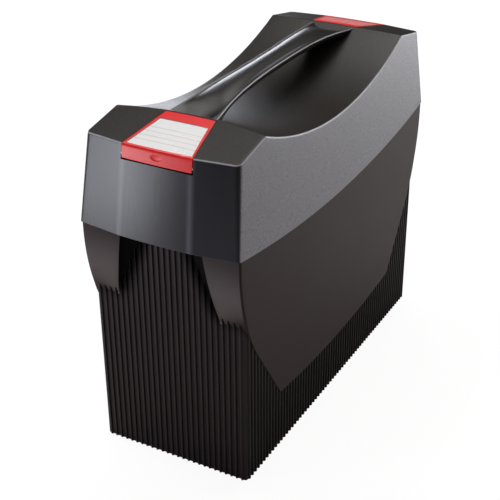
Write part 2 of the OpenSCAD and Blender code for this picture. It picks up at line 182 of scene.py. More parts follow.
# The ridge between a sloping end and the dish: place, height and half width, and its shift out and down at the sides
RIDGE_X, RIDGE_Z, RIDGE_HALF, RIDGE_OUT, RIDGE_DROP = 129.0, 307.0, 69.0, 5.5, 3.0
# Radii of the vertical corners and of the top's edge
CORNER, TOP_R = 3.0, 1.9
# Wall of the shell at its sides and top
WALL_SIDE, WALL_TOP = 1.6, 2.6


def smooth_min(a, b, k):
    """The smaller of two values, rounded over where they differ by less than k."""
    h = np.clip(0.5 + 0.5 * (b - a) / k, 0, 1)
    return b + (a - b) * h - k * h * (1 - h)


def smooth_step(t):
    t = np.clip(t, 0, 1)
    return t * t * (3 - 2 * t)


def lid_half(z):
    """Half width of the lid at a height."""
    return LID_HALF - SIDE_LEAN * (z - SKIRT_LOW)


def seam_z(x):
    """Height of the lid's lower edge."""
    return SKIRT_LOW + SEAM_RISE * (np.minimum(np.abs(x), SEAM_HALF) / SEAM_HALF) ** 2


def end_x(y, z):
    """How far out an end face lies: a middle panel, almost flat, between two facets."""
    a = np.abs(y)
    c = CREASE * (lid_half(z) - CORNER)
    mid = END_REACH - END_LEAN * (z - SKIRT_Z)
    return mid - np.where(a < c, a * a / CROWN, c * c / CROWN + FACET * (a - c))


def ridge(y):
    """Distance and height of the ridge at one y."""
    c = (np.abs(y) / RIDGE_HALF) ** 2
    return RIDGE_X + RIDGE_OUT * c, RIDGE_Z - RIDGE_DROP * c


def slope_top(x, y):
    """Height of a sloping end, from the ridge out to the edge."""
    xr, zr = ridge(y)
    return zr + (TOP_Z - zr) * (np.abs(x) - xr) / (end_x(y, TOP_Z) - xr)


def top(x, y):
    """Height of the lid's top: sloping ends and the dish between them."""
    xr, zr = ridge(y)
    depth = zr - DISH_Z
    r = (xr ** 2 + depth ** 2) / (2 * depth)
    dish = DISH_Z + r - np.sqrt(np.maximum(r * r - np.asarray(x, float) ** 2, 1))
    return smooth_min(slope_top(x, y), dish, 0.6)


def lid_skin():
    """The lid as one closed shell: its top, its sides, its edge and its inside."""
    d = CORNER
    nc = 4
    bx = [(1 - (0.5 - i / 8)) ** 2 * d for i in range(nc + 1)]
    by = [(0.5 - i / 8) ** 2 * d for i in range(nc + 1)]
    # Columns from an end to the middle: corner, slope, close to the ridge, dish
    slope_f = np.linspace(0, 1, 10)[1:]
    near = [2.2, 1.2, 0.6, 0.0, -0.6, -1.2, -2.2]
    dish_f = np.linspace(0, 1, 30)[1:]
    half_cols = nc + 1 + len(slope_f) + len(near) - 1 + len(dish_f)
    # Rows across: a corner on the -y side, shares of the half width, a corner on the +y side
    row_g = [-1, -0.93, -0.85, -0.76, -0.67, -0.58, -0.5, -CREASE - 0.012, -CREASE, -CREASE + 0.012,
             -0.4, -0.34, -0.28, -0.2, -0.1]
    row_g = row_g + [0.0] + [-g for g in reversed(row_g)]
    rows = ([("c0", j) for j in range(nc)] + [("g", g) for g in row_g]
            + [("c1", nc - 1 - j) for j in range(nc)])
    nj, ni = len(rows), 2 * half_cols - 1
    xy = np.zeros((ni, nj, 2))

    def corner_patch(i, j):
        """Distances in from the end and the side, for a grid point in a rounded corner."""
        u, v = i / nc, j / nc
        bottom, left = np.array([bx[i], by[i]]), np.array([by[j], bx[j]])
        topb, right = np.array([d * u, d]), np.array([d, d * v])
        c00, c10, c01, c11 = np.array([d / 4, d / 4]), np.array([d, 0]), np.array([0, d]), np.array([d, d])
        return ((1 - v) * bottom + v * topb + (1 - u) * left + u * right
                - ((1 - u) * (1 - v) * c00 + u * (1 - v) * c10 + (1 - u) * v * c01 + u * v * c11))

    def column_x(i, y):
        """x of a column left of the middle, at a given y."""
        xe, xr = -(end_x(y, TOP_Z) - TOP_R), -ridge(y)[0]
        if i <= nc:
            return xe + d * i / nc
        i -= nc + 1
        if i < len(slope_f):
            return xe + d + (xr - near[0] - xe - d) * slope_f[i]
        i -= len(slope_f)
        if i < len(near) - 1:
            return xr - near[i + 1]
        i -= len(near) - 1
        return (xr - near[-1]) * (1 - dish_f[i])

    for i in range(half_cols):
        for j, (kind, value) in enumerate(rows):
            # A first guess of y, then three rounds, because the width depends on the height
            y = value * 66.0 if kind == "g" else (-68 if kind == "c0" else 68)
            for _ in range(3):
                x = column_x(i, y)
                half = lid_half(top(x, y)) - TOP_R
                if kind == "g":
                    y = value * (half - d)
                else:
                    dist = corner_patch(i, value) if i <= nc else (0, d * value / nc)
                    sign = -1 if kind == "c0" else 1
                    y = sign * (half - dist[1])
            if kind != "g" and i <= nc:
                x = -(end_x(y, TOP_Z) - TOP_R) + corner_patch(i, value)[0]
            xy[i, j] = (x, y)
            xy[ni - 1 - i, j] = (-x, y)
    z = top(xy[..., 0], xy[..., 1])

    # The outline of the grid, once round
    loop = ([(i, 0) for i in range(ni)] + [(ni - 1, j) for j in range(1, nj)]
            + [(i, nj - 1) for i in range(ni - 2, -1, -1)] + [(0, j) for j in range(nj - 2, 0, -1)])
    n = len(loop)
    edge = np.array([xy[a] for a in loop])
    edge_z = np.array([z[a] for a in loop])
    tangent = np.roll(edge, -1, 0) - np.roll(edge, 1, 0)
    normal = np.stack([tangent[:, 1], -tangent[:, 0]], 1)
    normal /= np.linalg.norm(normal, axis=1)[:, None]

    def outline(zs):
        """The outline, with a height for each of its points."""
        out = np.zeros((n, 2))
        for k, (i, j) in enumerate(loop):
            zz = float(zs[k])
            hw = lid_half(zz)
            kind, value = rows[j]
            sx = -1 if i < half_cols - 1 else 1
            ii = min(i, ni - 1 - i)
            sy = -1 if j < nj // 2 else 1
            if ii <= nc and kind != "g":
                dist = corner_patch(ii, value)
                y = hw - dist[1]
                out[k] = (sx * (end_x(y, zz) - dist[0]), sy * y)
            elif ii == 0:
                y = value * (hw - d)
                out[k] = (sx * end_x(y, zz), y)
            else:
                ref = end_x(lid_half(edge_z[k]), edge_z[k]) - d
                out[k] = (edge[k, 0] / (ref - TOP_R) * (end_x(hw, zz) - d), sy * hw)
        return out

    points = [np.dstack([xy, z]).reshape(-1, 3)]
    faces = [(a * nj + b, (a + 1) * nj + b, (a + 1) * nj + b + 1, a * nj + b + 1)
             for a in range(ni - 1) for b in range(nj - 1)]
    count = ni * nj
    first = [i * nj + j for i, j in loop]

    # Rings down from the top: the rounded edge, the side, the lower edge, and up the inside
    rings = []
    for phi in (67.5, 45, 22.5, 0):
        c, s = math.cos(math.radians(phi)), math.sin(math.radians(phi))
        rings.append(np.column_stack([edge + TOP_R * c * normal, edge_z - TOP_R * (1 - s)]))
    start_xy, start_z = rings[-1][:, :2], rings[-1][:, 2]
    gap = start_xy - outline(start_z)
    low_z = seam_z(outline(np.full(n, 212.0))[:, 0])
    for w in (0.04, 0.12, 0.25, 0.4, 0.55, 0.7, 0.85, 0.96, 1.0):
        zs = start_z + (low_z + 0.5 - start_z) * w
        rings.append(np.column_stack([outline(zs) + (1 - w) * gap, zs]))
    base = rings[-1][:, :2]
    for inset, lift in ((0.15, 0.15), (0.5, 0.0), (2.0, 0.0), (2.4, 0.4)):
        rings.append(np.column_stack([base - inset * normal, low_z + lift]))
    inner_low = rings[-1]
    inner_xy = xy * np.array([1 - WALL_SIDE / 182, 1 - WALL_SIDE / 69])
    inner_z = z - WALL_TOP
    inner_edge = np.array([[*inner_xy[a], inner_z[a]] for a in loop])
    for w, w_xy in ((0.3, 0.3), (0.6, 0.6), (0.9, 0.9), (0.985, 0.95)):
        rings.append(inner_low + (inner_edge - inner_low) * np.array([w_xy, w_xy, w]))

    def joined(last, following):
        return [(last[k], last[(k + 1) % n], following[(k + 1) % n], following[k]) for k in range(n)]

    previous = first
    for ring in rings:
        points.append(ring)
        current = list(range(count, count + n))
        faces += joined(previous, current)
        previous = current
        count += n
    points.append(np.dstack([inner_xy, inner_z]).reshape(-1, 3))
    faces += joined(previous, [count + i * nj + j for i, j in loop])
    faces += [tuple(count + k for k in (a * nj + b, a * nj + b + 1, (a + 1) * nj + b + 1, (a + 1) * nj + b))
              for a in range(ni - 1) for b in range(nj - 1)]
    return new_object("lid_cover", np.vstack(points), faces)


# ---------------------------------------------------------------- shapes of the latch

# A latch's inner end, its half width there, and how fast that widens outward
LATCH_IN, LATCH_HALF, LATCH_SLOPE = 131.0, 22.8, 8.7 / 48.5
# Axis of the hinge, radii of the barrel, its bore and the pin
PIN_X, PIN_Z, BARREL_R, BORE_R, PIN_R = 180.45, 287.8, 3.38, 1.6, 1.4
# Radius of the trough in the recess in which the barrel turns, and half length of the pin
TROUGH_R, PIN_Y = 5.2, 32.6
# The dimple for a thumb in the lip: x and z of its middle, and its radii along x, y and z
DIMPLE_X, DIMPLE_Z, DIMPLE_R = -182.85, 291.2, (0.85, 5.6, 3.4)
# Low end of the lip's face, and half width at which the latch's outline is taken
LIP_LOW, LATCH_Y = 284.9, 29.0
# The tray for the label: its inner end, its half width there and further out, and its gap to the lip
TRAY_IN, TRAY_NARROW, TRAY_WIDE, TRAY_REF, TRAY_GAP, TRAY_Y = 141.0, 22.0, 30.3, 181.5, 0.5, 28.0


def latch_half(x):
    return LATCH_HALF + LATCH_SLOPE * (np.abs(x) - LATCH_IN)


def tray_half(x):
    return TRAY_NARROW + (TRAY_WIDE - TRAY_NARROW) * (x - TRAY_IN) / (TRAY_REF - TRAY_IN)


def tray_end(y):
    return float(end_x(y, TOP_Z)) - TOP_R - TRAY_GAP


def wedge(name, outline, grow):
    """A closed X-Z outline at the -X end, as wide as a latch grown by grow."""
    low = [(-x, -(latch_half(x) + grow), z) for x, z in outline]
    high = [(-x, latch_half(x) + grow, z) for x, z in outline]
    return loft(name, [low, high])


def latch_profile(y):
    """The outline of a latch in X-Z at one y: along the top, over the lip and back inside."""
    xe = end_x(y, TOP_Z) - TOP_R
    points = []
    for f in (0, 0.03, 0.1, 0.2, 0.35, 0.5, 0.65, 0.8, 0.9, 0.97, 1):
        x = LATCH_IN + (xe - LATCH_IN) * f
        points.append((x, float(slope_top(x, y))))
    edge_z = points[-1][1]
    for phi in (60, 30, 0):
        points.append((xe + TOP_R * math.cos(math.radians(phi)), edge_z - TOP_R * (1 - math.sin(math.radians(phi)))))
    for z in (294.0, 291.5, 289.0, 287.0, LIP_LOW):
        points.append((float(end_x(y, z)) - 0.02, z))
    for inset, drop in ((0.16, 0.34), (0.5, 0.48)):
        points.append((float(end_x(y, LIP_LOW)) - inset, LIP_LOW - drop))
    points += [(PIN_X + BARREL_R * math.cos(a), PIN_Z + BARREL_R * math.sin(a))
               for a in np.radians([-76, -90, -115, -140, -165, -190])]
    points.append((PIN_X - 2.7, PIN_Z + 2.1))
    xi = xe - 3.4
    points.append((xi - 0.8, float(slope_top(xi - 0.8, y)) - 3.4))
    for f in (0.93, 0.8, 0.6, 0.4, 0.2, 0.0):
        x = LATCH_IN + (xi - LATCH_IN) * f
        points.append((x, float(slope_top(x, y)) - 2.2))
    return points


def latch_shape():
    """A latch at the -X end: its plate with the lip and barrel, its tray, dimple and bore, and its hook."""
    loops = []
    for f in (-1, -0.8, -0.6, -0.4, -0.2, 0, 0.2, 0.4, 0.6, 0.8, 1):
        loop = []
        for x, z in latch_profile(f * LATCH_Y):
            # The lower ends of the lip taper, so that they clear the recess as the latch opens
            draft = 0.7 * min(max((290.0 - z) / 5.0, 0.0), 1.0)
            loop.append((-x, f * (latch_half(x) - draft), z))
        loops.append(loop)
    o = bevelled(loft("latch", loops), 0.3, 2, 50)
    # The shallow tray for the label
    loops = []
    for f in np.linspace(-1, 1, 11):
        xo, xi = tray_end(f * TRAY_Y), TRAY_IN
        loop = []
        for x, lift in ((xi, 3.0), (xo, 3.0), (xo, -1.3), ((xi + xo) / 2, -1.3), (xi, -1.3)):
            y = f * tray_half(x)
            loop.append((-x, y, float(slope_top(x, y)) + lift))
        loops.append(loop)
    boolean(o, loft("tray", loops), "DIFFERENCE")
    # The dimple, an ellipsoid cut into the lip's face
    rx, ry, rz = DIMPLE_R
    loops = []
    for t in np.radians(np.linspace(-88, 88, 13)):
        loops.append([(DIMPLE_X + rx * math.cos(t) * math.cos(a), ry * math.sin(t),
                       DIMPLE_Z + rz * math.cos(t) * math.sin(a)) for a in np.radians(np.arange(0, 360, 15))])
    boolean(o, loft("dimple", loops), "DIFFERENCE")
    bore = prism("bore", arc(-PIN_X, PIN_Z, BORE_R, 0, 360, 32)[:-1], "y", -40, 40)
    boolean(o, bore, "DIFFERENCE")
    hook = prism("hook", [(-169.4, 297.2), (-169.4, 247.0), (-170.9, 247.0), (-171.8, 249.2), (-171.8, 250.4),
                          (-170.6, 250.6), (-170.6, 289.4), (-171.8, 292.6), (-171.8, 296.6)], "y", -10, 10)
    boolean(o, bevelled(hook, 0.3, 2, 30), "UNION")
    return o


def label_sheet(name, high, low, inset):
    """A thin sheet in a latch's tray, between two depths under its face."""
    loops = []
    for f in np.linspace(-1, 1, 13):
        xs = np.linspace(TRAY_IN + inset, tray_end(f * TRAY_Y) - inset, 7)
        half = tray_half(xs) - inset
        up = [(-x, f * h, float(slope_top(x, f * h)) - high) for x, h in zip(xs, half)]
        down = [(-x, f * h, float(slope_top(x, f * h)) - low) for x, h in zip(xs, half)]
        loops.append(up + down[::-1])
    return loft(name, loops)


# ---------------------------------------------------------------- shapes of the handle

# How far out the handle's feet reach
FOOT_X = 133.5


def curve(x, table):
    """A smooth curve through pairs of distance and value (monotone cubic)."""
    xs, ys = np.array([t[0] for t in table], float), np.array([t[1] for t in table], float)
    h, delta = np.diff(xs), np.diff(ys) / np.diff(xs)
    m = np.zeros(len(xs))
    for k in range(1, len(xs) - 1):
        if delta[k - 1] * delta[k] > 0:
            w1, w2 = 2 * h[k] + h[k - 1], h[k] + 2 * h[k - 1]
            m[k] = (w1 + w2) / (w1 / delta[k - 1] + w2 / delta[k])
    m[-1] = delta[-1]
    x = np.clip(x, xs[0], xs[-1])
    k = np.clip(np.searchsorted(xs, x) - 1, 0, len(xs) - 2)
    t = (x - xs[k]) / h[k]
    return ((2 * t ** 3 - 3 * t ** 2 + 1) * ys[k] + (t ** 3 - 2 * t ** 2 + t) * h[k] * m[k]
            + (-2 * t ** 3 + 3 * t ** 2) * ys[k + 1] + (t ** 3 - t ** 2) * h[k] * m[k + 1])


# By distance from the middle: height along the centre line, height of the beads, half width, height of the underside
CREST = [(0, 314.9), (40, 314.8), (64, 314.2), (92, 311.6), (106, 308.2), (116, 304.2), (125, 300.6),
         (FOOT_X, 298.6)]
RIM = [(0, 312.0), (40, 311.9), (64, 311.4), (96.5, 309.2), (114, 307.4), (124.5, 306.2), (130.5, 305.6),
       (FOOT_X, 305.0)]
HALF = [(0, 13.0), (20, 13.1), (64, 15.0), (96.5, 17.6), (114, 19.9), (124.5, 21.4), (FOOT_X, 22.4)]
BASE = [(0, 302.0), (60, 301.6), (90, 299.6), (108, 297.4), (118, 296.0), (FOOT_X, 295.6)]
# The bead beside the top: points as inset from the side and height over the rim
BEAD = [(2.1, -0.55), (1.7, -0.2), (1.3, 0.1), (0.85, 0.15), (0.4, -0.05), (0.08, -0.5), (0, -1.1), (0.15, -1.8)]


def handle_shape():
    """The handle's section, swept from foot to foot."""
    loops = []
    xs = np.concatenate([-FOOT_X * np.sin(np.radians(np.linspace(90, 0, 50))),
                         FOOT_X * np.sin(np.radians(np.linspace(0, 90, 50)))[1:]])
    for x in xs:
        a = abs(x)
        crest, rim, w, base = (float(curve(a, t)) for t in (CREST, RIM, HALF, BASE))
        section = []
        for t in np.linspace(0, 1, 12):
            section.append(((w - 2.6) * t, crest + (rim - 0.55 - crest) * t ** 2.1))
        section += [(w - inset, rim + lift) for inset, lift in BEAD]
        # The underside: rounder along the arc than at the feet
        side, low = section[-1]
        under = max(low - base, 1.0)
        arch = float(smooth_step((118 - a) / 30))
        for t in (12, 25, 38, 50, 62, 74, 84):
            s, c = math.sin(math.radians(t)), math.cos(math.radians(t))
            section.append((side * c ** (0.35 + 0.5 * arch), low - under * s ** (1.0 + 0.2 * arch)))
        section.append((0.0, base))
        right = [(x, y, z) for y, z in section]
        left = [(x, -y, z) for y, z in reversed(section[1:-1])]
        loops.append(right + left)
    return loft("carry_handle", loops)


# ---------------------------------------------------------------- shapes of the box

# Half lengths and half widths of the walls and the cavity, the half width, height and floor of the rim
WALL_L, WALL_W = 174.4, 71.4
CAVITY_L, CAVITY_W = 172.2, 68.45
RIM_W, RIM_Z, FLOOR_T = 70.65, 226.0, 2.6
BOX_CORNER = 1.6
# Outline of one rib as distance along and height above the wall, the pitch of the ribs and their number
RIB = [(-1.9, 0.0), (-1.0, 0.2), (-0.8, 1.15), (-0.5, 1.52), (0, 1.6), (0.5, 1.52), (0.8, 1.15), (1.0, 0.2),
       (1.9, 0.0)]
PITCH, LONG_RIBS, END_RIBS = 5.4, 64, 26


def rib_row(count):
    """Distances along a wall with their heights above it."""
    out = []
    for k in range(count):
        c = (k - (count - 1) / 2) * PITCH
        out += [(c + a, b) for a, b in RIB]
    return out


def box_shell():
    """The ribbed box: loops from the base up the outside, over the rim and down the inside."""
    long_row, end_row = rib_row(LONG_RIBS), rib_row(END_RIBS)
    r = BOX_CORNER
    points = []
    corners = [(90, WALL_L - r, WALL_W - r), (0, WALL_L - r, -WALL_W + r),
               (-90, -WALL_L + r, -WALL_W + r), (180, -WALL_L + r, WALL_W - r)]
    walls = [[(a, WALL_W, 0, b) for a, b in long_row], [(WALL_L, -a, b, 0) for a, b in end_row],
             [(-a, -WALL_W, 0, -b) for a, b in long_row], [(-WALL_L, a, -b, 0) for a, b in end_row]]
    for wall, (start, cx, cy) in zip(walls, corners):
        points += wall
        for t in range(5):
            a = math.radians(start - 22.5 * t)
            points.append((cx + r * math.cos(a), cy + r * math.sin(a), 0, 0))
    p = np.array(points)
    base, out = p[:, :2], p[:, 2:]
    outer = base + out
    seam = seam_z(base[:, 0]) - 0.4

    def ring(shape, z):
        return np.column_stack([shape, np.broadcast_to(z, len(shape))])

    def plain(half_l, half_w, z):
        """A ring with no ribs."""
        return ring(base * np.array([half_l / WALL_L, half_w / WALL_W]), z)

    def cavity(inset, z):
        return plain(CAVITY_L - inset, CAVITY_W - inset, z)

    at_wall = np.abs(base) > np.array([WALL_L, WALL_W]) - 1.7
    foot = base + out * 0.75 - np.sign(base) * np.where(at_wall, 0.4, 0)
    loops = [ring(foot, 0.0), ring(outer, 0.6), ring(outer, 60.0), ring(outer, 140.0), ring(outer, seam - 0.5),
             ring(base + out * 0.7, seam), plain(WALL_L - 0.2, RIM_W, seam + 0.05),
             plain(WALL_L - 0.2, RIM_W, RIM_Z - 0.5), plain(WALL_L - 0.6, RIM_W - 0.4, RIM_Z),
             cavity(-0.4, RIM_Z), cavity(0, RIM_Z - 0.5), cavity(0, 120.0), cavity(0, FLOOR_T + 1.5),
             cavity(0.5, FLOOR_T + 0.4), cavity(1.5, FLOOR_T)]
    return loft("box_shell", loops)


# Face of a side panel, and its low and top ends
PANEL_Y, PANEL_LOW, PANEL_TOP = 73.8, 57.5, 220.4
# Reach of a grip at the panel's low end, and how far it leans in up to the level where its edge turns upright
GRIP_REACH, GRIP_LEAN, GRIP_TOP = 186.0, 1.2, 214
# The curved edge of a panel: its radius, and the angle at which it meets the straight edge
EDGE_R, EDGE_ANGLE = 172.6, math.radians(33.4)
# Levels above which the grips stand clear, and have their full rounding
GRIP_LOW, GRIP_FULL = 149.8, 160
# How far the middle of a panel's low end sags, and how much more its top end does
SAG_LOW, SAG_MORE = 7.5, 8.8


def panel_x(z):
    """Outline of a side panel and its end grips, from the pointed corner up."""
    turn = GRIP_TOP - EDGE_R * math.sin(EDGE_ANGLE)
    reach = GRIP_REACH - GRIP_LEAN * max(0.0, min(1.0, (z - PANEL_LOW) / (GRIP_TOP - PANEL_LOW)))
    if z <= turn:
        return reach - EDGE_R * (1 - math.cos(EDGE_ANGLE)) - math.tan(EDGE_ANGLE) * (turn - z)
    if z >= GRIP_TOP:
        return reach
    return reach - EDGE_R + math.sqrt(EDGE_R ** 2 - (GRIP_TOP - z) ** 2)


def grip_front(z):
    """Distance from the middle of the box to a grip's inner edge, at its face."""
    return 37.4 + 0.16 * (GRIP_TOP - z) + 0.0012 * max(0, 190 - z) ** 2


def grip_root(z):
    """The same at the box's wall, from which the grip slants."""
    return 22.5 + 0.48 * (212 - z)


def side_panel(name):
    """One smooth panel with its two end grips, at -y: loops stacked from its low end to its top end."""
    levels = [PANEL_LOW, 57.65, 58.1, 60, 66, 75, 86, 98, 110, 119, 126, 133, 140, 145, 148, 149.6, 150.1, 151,
              153, 157, 162, 168, 175, 182, 190, 198, 205, 210, 214, 217, 219.9, PANEL_TOP]
    # How far the first loops and the last one stay in, to round the ends
    shies = [0.9, 0.35, 0.08] + [0.0] * (len(levels) - 4) + [0.35]
    us = np.linspace(-1, 1, 57)
    loops = []
    for zb, shy in zip(levels, shies):
        x = panel_x(zb)
        rise = (zb - PANEL_LOW) / (PANEL_TOP - PANEL_LOW)
        rf = 1.9 if zb > GRIP_FULL else 1.0 + 0.9 * max(0.0, (zb - 150) / 10)

        def z_at(xx):
            return zb - (1 - min(1.0, (xx / x) ** 2)) * (SAG_LOW + SAG_MORE * rise)

        # From the face round the outer edge, then over the grip's end face and its inner edge to the wall
        side = [(x - rf + (rf - shy) * math.sin(a), -PANEL_Y + rf - (rf - shy) * math.cos(a))
                for a in np.radians([22.5, 45, 67.5, 90])]
        if zb > GRIP_LOW:
            pf, root = grip_front(zb), min(grip_root(zb), grip_front(zb) + 2)
            depth = x - 174.6
            rb = min(1.3, depth * 0.4)
            lean = min(2.4, depth * 0.25)
            xi = x - lean
            side += [(x - shy - lean * f, -PANEL_Y + (PANEL_Y - pf - rf) * f + rf) for f in (0.25, 0.5, 0.75)]
            side += [(xi - shy, -pf - rb), (xi - rb * 0.3, -pf - rb * 0.3), (xi - rb, -pf)]
            side += [(xi - rb - (depth - lean - rb) * f, -pf + (pf - root) * f) for f in (0.3, 0.65, 1.0)]
            side.append((173.0, -root))
        else:
            side += [(x - shy, -72.8 + 0.4 * f) for f in (0.25, 0.5, 0.75)]
            side += [(x - shy - 0.1 * k, -72.3) for k in range(3)]
            side += [(x - 0.6 - 0.3 * k, -72.2) for k in range(3)]
            side.append((x - 1.8, -72.1))
        front = [(u * (x - rf), -PANEL_Y + shy) for u in us]
        back = [(u * min(x - 2.2, 172.5), -72.0) for u in reversed(us)]
        loops.append([(a, b, z_at(a)) for a, b in front] + [(a, b, zb) for a, b in side]
                     + [(a, b, z_at(a)) for a, b in back] + [(-a, b, zb) for a, b in reversed(side)])
    nu, ns = len(us), len(side)
    loops = np.array(loops)
    rows, n, _ = loops.shape
    faces = tube_faces(rows, n)
    # Each end is closed with a strip of quads between face and back, and a polygon at either grip
    for o in (0, (rows - 1) * n):
        far = o + 2 * nu + ns - 1
        faces += [(o + k, o + k + 1, far - k - 1, far - k) for k in range(nu - 1)]
        faces.append(tuple(o + nu - 1 + k for k in range(ns + 2)))
        faces.append(tuple([far + k for k in range(ns + 1)] + [o]))
    return new_object(name, loops.reshape(-1, 3), faces)


def end_tab():
    """The tab on the -X end wall, with its catch slot and the brackets of a rail."""
    outline = ([(-58, 219.0), (58, 219.0), (58, 254.0)] + arc(50, 254, 8, 0, 90, 10)[1:]
               + arc(-50, 254, 8, 90, 180, 10))
    tab = bevelled(prism("end_tab", outline, "x", -174.4, -172.2), 0.4, 2, 40)
    boolean(tab, bevelled(block("slot", (-176, -12, 246.5), (-170, 12, 250.9)), 0.8, 3, 40), "DIFFERENCE")
    # A bracket has a slot from above for the rail
    bracket = [(-172.6, 222), (-172.6, 236), (-166.2, 236), (-166.2, 226), (-163.8, 226), (-163.8, 236),
               (-161.5, 236), (-161.5, 222)]
    for y in (-50.95, 50.95):
        boolean(tab, bevelled(prism("bracket", bracket, "y", y - 3, y + 3), 0.35, 2, 40), "UNION")
    return tab


# ---------------------------------------------------------------- materials

# In metres: depth of the grain, pitch of the rules on a card and the count of them at its start
GRAIN_DEPTH, RULE_PITCH, RULE_START = 0.0002, 0.0058, -25.3
# How fast the root of a grip, and the crease of the lid's end, shift across with height
ROOT_SLOPE, CREASE_SLOPE = 0.48, 0.029014


def material(name, base, rough, **inputs):
    m = bpy.data.materials.new(name)
    m.use_nodes = True
    shader = m.node_tree.nodes["Principled BSDF"]
    shader.inputs["Base Color"].default_value = (*base, 1)
    shader.inputs["Roughness"].default_value = rough
    for key, value in inputs.items():
        shader.inputs[key.replace("_", " ")].default_value = value
    return m, m.node_tree, shader


def node(tree, kind, **settings):
    n = tree.nodes.new(kind)
    for key, value in settings.items():
        if key in n.inputs:
            n.inputs[key].default_value = value
        else:
            setattr(n, key, value)
    return n


def feed(tree, socket, value):
    """Sets a socket to a constant, or links another socket to it."""
    if isinstance(value, bpy.types.NodeSocket):
        tree.links.new(value, socket)
    else:
        socket.default_value = value


def maths(tree, operation, *values):
    n = node(tree, "ShaderNodeMath", operation=operation)
    for socket, value in zip(n.inputs, values):
        feed(tree, socket, value)
    return n.outputs[0]


def mixed(tree, factor, a, b, kind="RGBA"):
    """Between two colours, or two numbers where kind is FLOAT."""
    n = node(tree, "ShaderNodeMix", data_type=kind)
    first, out = {"FLOAT": (2, 0), "RGBA": (6, 2)}[kind]
    for k, value in ((0, factor), (first, a), (first + 1, b)):
        feed(tree, n.inputs[k], value)
    return n.outputs[out]


def ramp(tree, source, stops):
    r = tree.nodes.new("ShaderNodeValToRGB")
    while len(r.color_ramp.elements) < len(stops):
        r.color_ramp.elements.new(0.5)
    for e, (at, value) in zip(r.color_ramp.elements, stops):
        e.position = at
        e.color = (value, value, value, 1) if isinstance(value, (int, float)) else (*value, 1)
    tree.links.new(source, r.inputs[0])
    return r.outputs[0]


def noise(tree, place, **settings):
    n = node(tree, "ShaderNodeTexNoise", **settings)
    tree.links.new(place, n.inputs["Vector"])
    return n.outputs[0]


def stretched(tree, place, scale):
    n = node(tree, "ShaderNodeMapping", Scale=scale)
    tree.links.new(place, n.inputs["Vector"])
    return n.outputs[0]


def split(tree, vector):
    n = node(tree, "ShaderNodeSeparateXYZ")
    tree.links.new(vector, n.inputs[0])
    return n.outputs


def bumped(tree, shader, height, strength):
    n = node(tree, "ShaderNodeBump", Distance=GRAIN_DEPTH)
    feed(tree, n.inputs["Strength"], strength)
    feed(tree, n.inputs["Height"], height)
    feed(tree, shader.inputs["Normal"], n.outputs[0])


def overlaid(tree, shader, factor, colour):
    """Lays a colour over the one that a shader has, where the factor is 1."""
    under = shader.inputs["Base Color"].links[0].from_socket
    feed(tree, shader.inputs["Base Color"], mixed(tree, factor, under, colour))


def grained(name, dark, light, rough, grain, bump, spread=0.06, **inputs):
    """Moulded plastic: slow shifts of colour, a fine grain and a grain of height."""
    m, tree, shader = material(name, dark, rough, **inputs)
    place = node(tree, "ShaderNodeTexCoord").outputs["Object"]
    slow = noise(tree, place, Scale=9.0, Detail=3.0)
    fine = noise(tree, place, Scale=grain, Detail=2.0, Roughness=0.6)
    both = maths(tree, "MULTIPLY_ADD", fine, 0.65, maths(tree, "MULTIPLY", slow, 0.35))
    feed(tree, shader.inputs["Base Color"], ramp(tree, both, [(0.32, dark), (0.68, light)]))
    feed(tree, shader.inputs["Roughness"], ramp(tree, both, [(0.3, rough - spread), (0.7, rough + spread)]))
    bumped(tree, shader, fine, bump)
    return m, tree, shader


def panel_material():
    """Grained plastic of the side panels, with painted shade near black inside the finger pockets and painted light
    on the end faces of the grips.
    """
    m, tree, shader = grained("panel_plastic", (0.016, 0.0088, 0.0075), (0.025, 0.0147, 0.0130), 0.48, 1500, 0.4,
                              Specular_Tint=(1, 0.80, 0.75, 1))
    coords = node(tree, "ShaderNodeTexCoord").outputs
    _, y, z = split(tree, coords["Object"])
    facing_x, facing_y, _ = split(tree, coords["Normal"])
    # Faces that look back to the middle of the box lie inside a pocket
    outward = maths(tree, "MULTIPLY", maths(tree, "SIGN", y), facing_y)
    inside = ramp(tree, maths(tree, "MULTIPLY", outward, -1), [(0.12, 0), (0.3, 1)])
    # The faces inside a pocket are painted near black as shade, with little shine.
    overlaid(tree, shader, inside, (0.002, 0.002, 0.002, 1))
    # Light is painted on the end faces of the grips, paler toward their tips, as it falls on them
    front = ramp(tree, maths(tree, "ABSOLUTE", facing_x), [(0.955, 0), (0.99, 1)])
    overlaid(tree, shader, front, ramp(tree, z, [(0.150, (0.160, 0.140, 0.141)), (0.215, (0.030, 0.023, 0.024))]))
    feed(tree, shader.inputs["Specular IOR Level"], ramp(tree, inside, [(0.0, 0.14), (1.0, 0.02)]))
    return m


def handle_material():
    """Polished near-black plastic, with a painted highlight along the beads that border the top."""
    m, tree, shader = grained("handle_plastic", (0.007, 0.006, 0.006), (0.010, 0.009, 0.009), 0.37, 300, 0.0, 0.015,
                              Specular_IOR_Level=0.38)
    _, across, upward = split(tree, node(tree, "ShaderNodeTexCoord").outputs["Normal"])
    # A pale highlight is painted on the beads that border the top.
    slanted = ramp(tree, maths(tree, "ABSOLUTE", across), [(0.45, 0), (0.62, 1)])
    painted_bead_highlight = maths(tree, "MULTIPLY", slanted, ramp(tree, upward, [(0.05, 0), (0.25, 1)]))
    overlaid(tree, shader, painted_bead_highlight, (0.34, 0.34, 0.37, 1))
    return m


